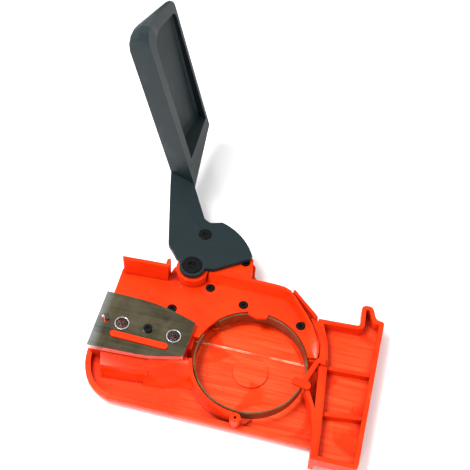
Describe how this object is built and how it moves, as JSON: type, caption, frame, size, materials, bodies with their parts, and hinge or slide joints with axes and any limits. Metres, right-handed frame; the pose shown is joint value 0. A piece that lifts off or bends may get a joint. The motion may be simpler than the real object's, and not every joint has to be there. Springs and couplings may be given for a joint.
{
  "type": "chainsaw clutch cover with chain brake",
  "caption": "Chainsaw clutch cover lying inner side up: orange cover with brake band, bar plate and closing plate, and a tall hinged front hand guard that works the chain brake.",
  "frame": {"origin": "on the clutch drum axis, on the flat outer face the part lies on", "axes": "+Z along the drum axis from the outer face to the open inner side, +Y towards the hand guard, +X towards the rear of the saw"},
  "size_m": [0.1971, 0.2441, 0.1643],
  "materials": {
    "orange_plastic": "moulded, satin gloss with flow marks",
    "guard_plastic": "fine moulded grain",
    "bronzed_steel": "hardened strip, bronze-grey",
    "plain_steel": "plain zinc-grey",
    "black_steel": "black oxide"
  },
  "bodies": {
    "cover": {"clutch_cover": "orange_plastic", "brake_plate": "orange_plastic", "brake_band": "bronzed_steel", "bar_plate": "bronzed_steel", "stud_sleeve_front": "plain_steel", "stud_sleeve_rear": "plain_steel", "pivot_bush": "plain_steel", "guard_pivot_screw": "black_steel", "deck_screw": "black_steel", "bar_plate_screw": "black_steel", "plate_screw_1": "black_steel", "plate_screw_2": "black_steel", "plate_screw_3": "black_steel", "plate_screw_4": "black_steel", "band_anchor_pin": "plain_steel", "brake_spring": "plain_steel"},
    "guard": {"hand_guard": "guard_plastic", "brake_lever": "plain_steel", "sector_screw": "black_steel", "lever_pin": "plain_steel"},
    "link": {"pull_rod": "plain_steel"},
    "block": {"pull_block": "plain_steel", "rod_pin": "plain_steel", "pull_pin": "plain_steel", "band_tail": "bronzed_steel"}
  },
  "joints": [
    {"name": "guard_hinge", "type": "hinge", "parent": "cover", "child": "guard", "pos_m": [-0.0538, 0.056, 0], "axis": [0, 0, 1], "range_deg": [0, 24]},
    {"name": "rod_pivot", "type": "hinge", "parent": "guard", "child": "link", "pos_m": [-0.04402, 0.05392, 0], "axis": [0, 0, 1], "range_deg": [-24, 0]},
    {"name": "block_slide", "type": "slide", "parent": "cover", "child": "block", "axis": [0, 1, 0], "range_m": [0, 0.00416], "deforming": ["brake_spring"]}
  ],
  "couplings": [
    {"joint": "rod_pivot", "follows": "guard_hinge", "ratio": -1},
    {"joint": "block_slide", "follows": "guard_hinge", "m_per_rad": 0.009927}
  ]
}
